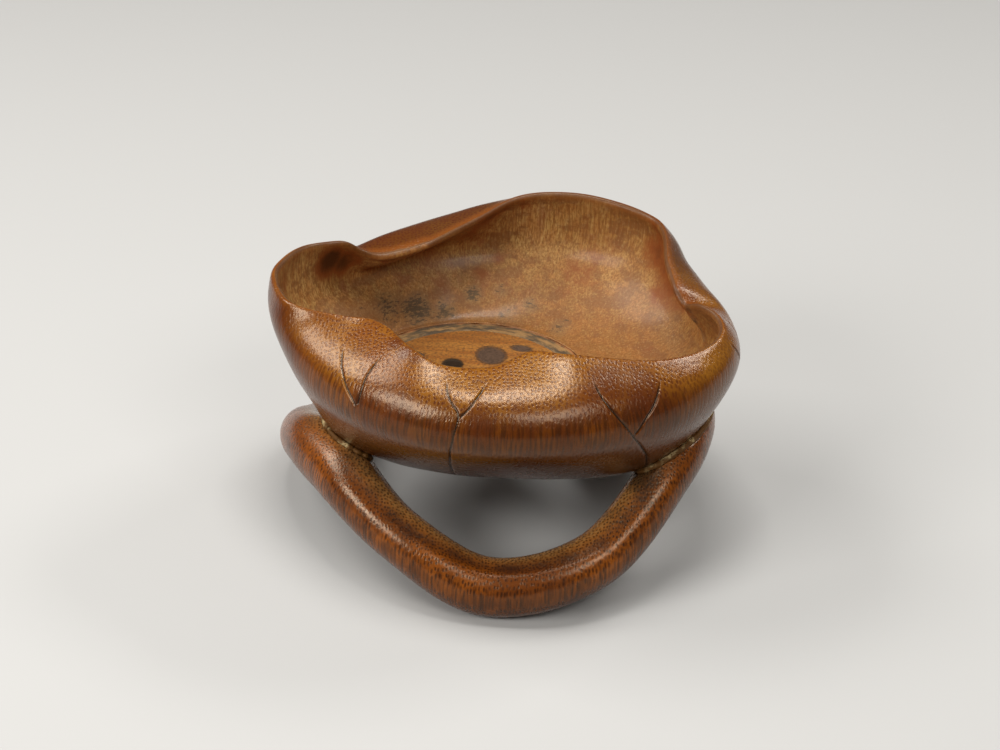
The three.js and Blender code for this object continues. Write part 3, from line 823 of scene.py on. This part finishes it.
def stalk_material():
    """The same bamboo nearer its root: redder and finer, with a stained furrow and a paler inner side."""
    material, add = new_material("polished_bamboo_stalk")
    mm = place_in_mm(add)
    dots, fibres = bundles(add, mm, STALK_BUNDLES, 0.16, 0.44)
    # clouds 17 mm wide, patches of 5 mm, and a speckle of 0.6 mm, coarser than the pores that it stands for
    clouds = add("ShaderNodeTexNoise", {"Vector": mm, "Scale": 0.06, "Detail": 4.0, "Roughness": 0.6})
    patches = add("ShaderNodeTexNoise", {"Vector": mm, "Scale": 0.2, "Detail": 5.0, "Roughness": 0.65})
    speckle = add("ShaderNodeTexNoise", {"Vector": mm, "Scale": 1.6, "Detail": 3.0, "Roughness": 0.6})
    lines, steep = wall_lines(add, mm, RING_MIDDLE, 1.7)
    tone = stained(
        add, "#8e4a0f",
        ("#6a3308", clouds, 0.38, 0.64, 0, 1),
        ("#3a1604", lines, 0.46, 0.6, 0, 0.6, steep),
        ("#472107", fibres, 0.42, 0.66, 0, 0.35),
    )
    thin = add("ShaderNodeMapRange", {0: speckle, 1: 0.35, 2: 0.65, 3: 0.45, 4: 1}, **EASED)
    strip = add("ShaderNodeAttribute", attribute_name="strip").outputs["Fac"]
    strip = add("ShaderNodeMath", {0: strip, 1: thin}, operation="MULTIPLY")
    strip = add("ShaderNodeMath", {0: strip, 1: 0.9}, operation="MULTIPLY")
    tone = add("ShaderNodeMix", {0: strip, 6: tone, 7: "#a57843"}, data_type="RGBA")
    show = add("ShaderNodeMath", {0: dots, 1: 0.85}, operation="MULTIPLY")
    tone = add("ShaderNodeMix", {0: show, 6: tone, 7: "#2c0f03"}, data_type="RGBA")
    tone = stained(add, tone, ("#3a1a0c", patches, 0.54, 0.72, 0, 0.5))
    settled = add("ShaderNodeMapRange", {0: patches, 1: 0.3, 2: 0.6, 3: 0.25, 4: 0.75}, **EASED)
    furrow = add("ShaderNodeAttribute", attribute_name="furrow").outputs["Fac"]
    furrow = add("ShaderNodeMath", {0: furrow, 1: settled}, operation="MULTIPLY")
    tone = add("ShaderNodeMix", {0: furrow, 6: tone, 7: "#2b1812"}, data_type="RGBA")
    edge = add("ShaderNodeMath", {0: speckle, 1: 0.5}, operation="SUBTRACT")
    edge = add("ShaderNodeMath", {0: edge, 1: 1.4}, operation="MULTIPLY")
    char = add("ShaderNodeAttribute", attribute_name="char").outputs["Fac"]
    char = add("ShaderNodeMath", {0: char, 1: edge}, operation="ADD")
    tone = stained(add, tone, ("#1c1410", char, 0.3, 0.9, 0, 0.75))
    ridges = add("ShaderNodeMath", {0: fibres, 1: 0.5}, operation="MULTIPLY")
    pits = add("ShaderNodeMath", {0: dots, 1: 0.6}, operation="MULTIPLY")
    relief = add("ShaderNodeMath", {0: ridges, 1: pits}, operation="SUBTRACT")
    grit = add("ShaderNodeMath", {0: speckle, 1: 0.6}, operation="MULTIPLY")
    relief = add("ShaderNodeMath", {0: relief, 1: grit}, operation="ADD")
    rough = add("ShaderNodeMapRange", {0: patches, 1: 0.3, 2: 0.7, 3: 0.22, 4: 0.3}, **EASED)
    return handled(material, add, tone, rough, relief, depth=0.05, coat=0.1, coat_rough=0.2, gloss=0.5)


def disc_flow(add, mm):
    """A place on the disc, drawn out sideways and bent round its eyes, for grain to follow."""
    x, y, _ = add("ShaderNodeSeparateXYZ", {0: mm}).outputs
    across = y
    for eye_x, eye_y, wide, *_ in EYES[:3]:
        off = add("ShaderNodeVectorMath", {0: mm, 1: (eye_x, eye_y, DISC_TOP)}, operation="SUBTRACT")
        oval = add("ShaderNodeVectorMath", {0: off, 1: (1, 1.5, 0)}, operation="MULTIPLY")
        far = add("ShaderNodeVectorMath", {0: oval}, operation="LENGTH")
        pull = add("ShaderNodeMapRange", {0: far, 1: 0, 2: wide * 2.6, 3: 0.62, 4: 0}, **EASED)
        side = add("ShaderNodeMath", {0: y, 1: eye_y}, operation="SUBTRACT")
        shift = add("ShaderNodeMath", {0: side, 1: pull}, operation="MULTIPLY")
        across = add("ShaderNodeMath", {0: across, 1: shift}, operation="SUBTRACT")
    along = add("ShaderNodeMath", {0: x, 1: 0.12}, operation="MULTIPLY")
    return add("ShaderNodeCombineXYZ", {0: along, 1: across, 2: 0.0})


def disc_material():
    """Burr-like slice let into the floor: smooth ochre, its grain flowing round dark eyes."""
    material, add = new_material("bamboo_floor_disc")
    mm = place_in_mm(add)
    flow = disc_flow(add, mm)
    # growth lines 0.9 mm apart in broad bands of 3.6 mm
    grain = add("ShaderNodeTexNoise", {"Vector": flow, "Scale": 1.1, "Detail": 4.0, "Roughness": 0.55})
    broad = add("ShaderNodeTexNoise", {"Vector": flow, "Scale": 0.28, "Detail": 3.0})
    speckle = add("ShaderNodeTexNoise", {"Vector": mm, "Scale": 1.5, "Detail": 3.0, "Roughness": 0.6})
    ragged = add("ShaderNodeMath", {0: speckle, 1: 0.5}, operation="SUBTRACT")
    ragged = add("ShaderNodeMath", {0: ragged, 1: 0.22}, operation="MULTIPLY")
    eye = add("ShaderNodeAttribute", attribute_name="eye").outputs["Fac"]
    eye = add("ShaderNodeMath", {0: eye, 1: ragged}, operation="ADD")
    burn = add("ShaderNodeAttribute", attribute_name="char").outputs["Fac"]
    crumbs = add("ShaderNodeMapRange", {0: speckle, 1: 0.45, 2: 0.62, 3: 0, 4: 0.6}, **EASED)
    tone = stained(
        add, "#cb9544",
        ("#9c6a2c", broad, 0.36, 0.64, 0, 1),
        ("#7a4c1d", grain, 0.45, 0.66, 0, 0.45),
        ("#6b4526", speckle, 0.58, 0.75, 0, 0.25),
        ("#84481b", eye, -0.8, -0.02, 0, 0.65),
        ("#46301f", eye, -0.06, 0.08, 0, 0.85),
        ("#4a3a30", eye, 0.1, 0.28, 0, 0.85),
        ("#2c211a", eye, 0, 0.1, 0, 1, crumbs),
        ("#171009", burn, 0.3, 0.8, 0, 0.9),
    )
    ridges = add("ShaderNodeMath", {0: grain, 1: 0.5}, operation="MULTIPLY")
    grit = add("ShaderNodeMath", {0: speckle, 1: 0.4}, operation="MULTIPLY")
    relief = add("ShaderNodeMath", {0: ridges, 1: grit}, operation="ADD")
    return handled(material, add, tone, 0.46, relief, depth=0.05, coat=0.15, coat_rough=0.3)


def seam_material():
    """Aged lacquer putty: tan to grey-green, with black patches and a salmon outer line."""
    material, add = new_material("lacquer_putty")
    off = add("ShaderNodeVectorMath", {0: place_in_mm(add), 1: tuple(DISC_MIDDLE)}, operation="SUBTRACT")
    level = add("ShaderNodeVectorMath", {0: off, 1: (1, 1, 0)}, operation="MULTIPLY")
    out = add("ShaderNodeVectorMath", {0: level}, operation="LENGTH")
    x, y, _ = add("ShaderNodeSeparateXYZ", {0: off}).outputs
    turn = add("ShaderNodeMath", {0: x, 1: y}, operation="ARCTAN2")
    along = add("ShaderNodeMath", {0: turn, 1: 10.0}, operation="MULTIPLY")
    across = add("ShaderNodeMath", {0: out, 1: 1.6}, operation="MULTIPLY")
    smeared = add("ShaderNodeCombineXYZ", {0: along, 1: across, 2: 0.0})
    # patches about 2 mm across the ring and 9 mm round it, and crumbs a quarter of that
    patches = add("ShaderNodeTexNoise", {"Vector": smeared, "Scale": 0.3, "Detail": 5.0, "Roughness": 0.7})
    fine = add("ShaderNodeTexNoise", {"Vector": smeared, "Scale": 1.2, "Detail": 4.0, "Roughness": 0.65})
    tone = stained(
        add, "#8a6840",
        ("#6c5337", patches, 0.36, 0.56, 0, 1),
        ("#a0613a", out, 27.4, 28.3, 0, 0.7),
        ("#38322a", patches, 0.45, 0.6, 0, 0.8),
        ("#3b3123", fine, 0.55, 0.72, 0, 0.6),
    )
    return handled(material, add, tone, 0.55, fine, depth=0.12, coat=0.1)


def glue_material():
    """Old glue: mostly stained as dark as the wood, pale and crusty where it has chipped."""
    material, add = new_material("old_glue")
    mm = place_in_mm(add)
    # chips of 6 mm and crumbs of 0.7 mm
    patches = add("ShaderNodeTexNoise", {"Vector": mm, "Scale": 0.16, "Detail": 3.0, "Roughness": 0.6})
    fine = add("ShaderNodeTexNoise", {"Vector": mm, "Scale": 1.4, "Detail": 4.0, "Roughness": 0.65})
    aside = add("ShaderNodeSeparateXYZ", {0: mm}).outputs["X"]
    aside = add("ShaderNodeMath", {0: aside}, operation="ABSOLUTE")
    crusts = add("ShaderNodeMapRange", {0: fine, 1: 0.42, 2: 0.52, 3: 0, 4: 1}, **EASED)
    chips = add("ShaderNodeMapRange", {0: patches, 1: 0.5, 2: 0.6, 3: 0, 4: 1}, **EASED)
    tone = stained(
        add, "#5a3814",
        ("#bfa878", aside, 31, 34, 0, 1, crusts, chips),
        ("#5d4425", fine, 0.5, 0.7, 0, 0.45),
    )
    return handled(material, add, tone, 0.6, fine, depth=0.15, coat=0.0)


def peg_material():
    """Sawn bamboo of the hidden pegs: pale, straight-grained and dull."""
    material, add = new_material("sawn_bamboo_peg")
    # fibres 0.3 mm thick and ten times as long
    upright = add("ShaderNodeVectorMath", {0: place_in_mm(add), 1: (3, 3, 0.3)}, operation="MULTIPLY")
    grain = add("ShaderNodeTexNoise", {"Vector": upright, "Scale": 1.0, "Detail": 3.0})
    tone = stained(add, "#b9874f", ("#7d4f27", grain, 0.4, 0.65, 0, 1))
    return handled(material, add, tone, 0.65, grain, depth=0.05, coat=0.0)


looks = {
    "leaf_bamboo": leaf_material(),
    "stalk_bamboo": stalk_material(),
    "disc_bamboo": disc_material(),
    "seam_putty": seam_material(),
    "old_glue": glue_material(),
    "peg_bamboo": peg_material(),
}


# Fitting the pieces to the frame

fitted = [
    (leaf, "leaf_bowl", "leaf_bamboo"),
    (stalk, "stalk_foot", "stalk_bamboo"),
    (disc, "floor_disc", "disc_bamboo"),
    (seam, "floor_seam", "seam_putty"),
    (glues["left"], "seat_glue_left", "old_glue"),
    (glues["right"], "seat_glue_right", "old_glue"),
]
for piece, cad_node, slot in fitted:
    piece.data.materials.clear()
    piece.data.materials.append(looks[slot])
    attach(piece, "root")
    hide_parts(cad_node)
for name in ("peg_left", "peg_right"):
    for slot in frame["nodes"][name].material_slots:
        slot.material = looks["peg_bamboo"]


# Floor and light

FLOOR_BELOW = 0.00002
# The floor as it lights the washer, and as it is seen or reflected.
FLOOR_TONE = "#4a4948"
FLOOR_SEEN = "#b1afab"
# Each soft lamp's place, its two sizes and its power in watts; all of them face the middle of the washer.
LAMPS = {
    "overhead": ((0.0, 0.0, 0.8), (0.28, 0.22), 3.6),
    "left": ((-0.6, 0.16, 0.68), (0.5, 0.32), 4.8),
    "left_front": ((-0.56, -0.48, 0.48), (0.42, 0.26), 4.4),
    "right": ((0.48, 0.34, 0.62), (0.3, 0.16), 2.3),
    "front": ((0.3, -0.58, 0.66), (0.44, 0.28), 2.6),
}
LAMPS_FACE = Vector((0, 0, 0.035))


def lay_floor():
    bpy.ops.object.select_all(action="DESELECT")
    bpy.ops.mesh.primitive_plane_add(size=6, location=(0, 0, -FLOOR_BELOW))
    floor = bpy.context.active_object
    floor.name = "floor"
    material, add = new_material("matt_pale_floor")
    path = add("ShaderNodeLightPath")
    seen = path.outputs["Is Camera Ray"]
    for name in ("Is Glossy Ray", "Is Transmission Ray"):
        seen = add("ShaderNodeMath", {0: seen, 1: path.outputs[name]}, operation="MAXIMUM")
    tone = add("ShaderNodeMix", {0: seen, 6: FLOOR_TONE, 7: FLOOR_SEEN}, data_type="RGBA")
    shader = add("ShaderNodeBsdfPrincipled", {"Base Color": tone, "Roughness": 0.85})
    add("ShaderNodeOutputMaterial", {"Surface": shader})
    floor.data.materials.append(material)


def light_studio():
    world = bpy.data.worlds.new("studio")
    world.use_nodes = True
    world.node_tree.nodes.clear()
    sky = node(world.node_tree, "ShaderNodeBackground", {"Color": "#e4e2de", "Strength": 0.14})
    node(world.node_tree, "ShaderNodeOutputWorld", {"Surface": sky})
    bpy.context.scene.world = world
    for name, (place, size, power) in LAMPS.items():
        data = bpy.data.lights.new(name, "AREA")
        data.shape = "RECTANGLE"
        data.size, data.size_y = size
        data.energy = power
        lamp = bpy.data.objects.new(name, data)
        lamp.location = place
        lamp.rotation_euler = (LAMPS_FACE - lamp.location).to_track_quat("-Z", "Y").to_euler()
        bpy.context.scene.collection.objects.link(lamp)


lay_floor()
light_studio()
bpy.context.scene.view_settings.view_transform = "Standard"
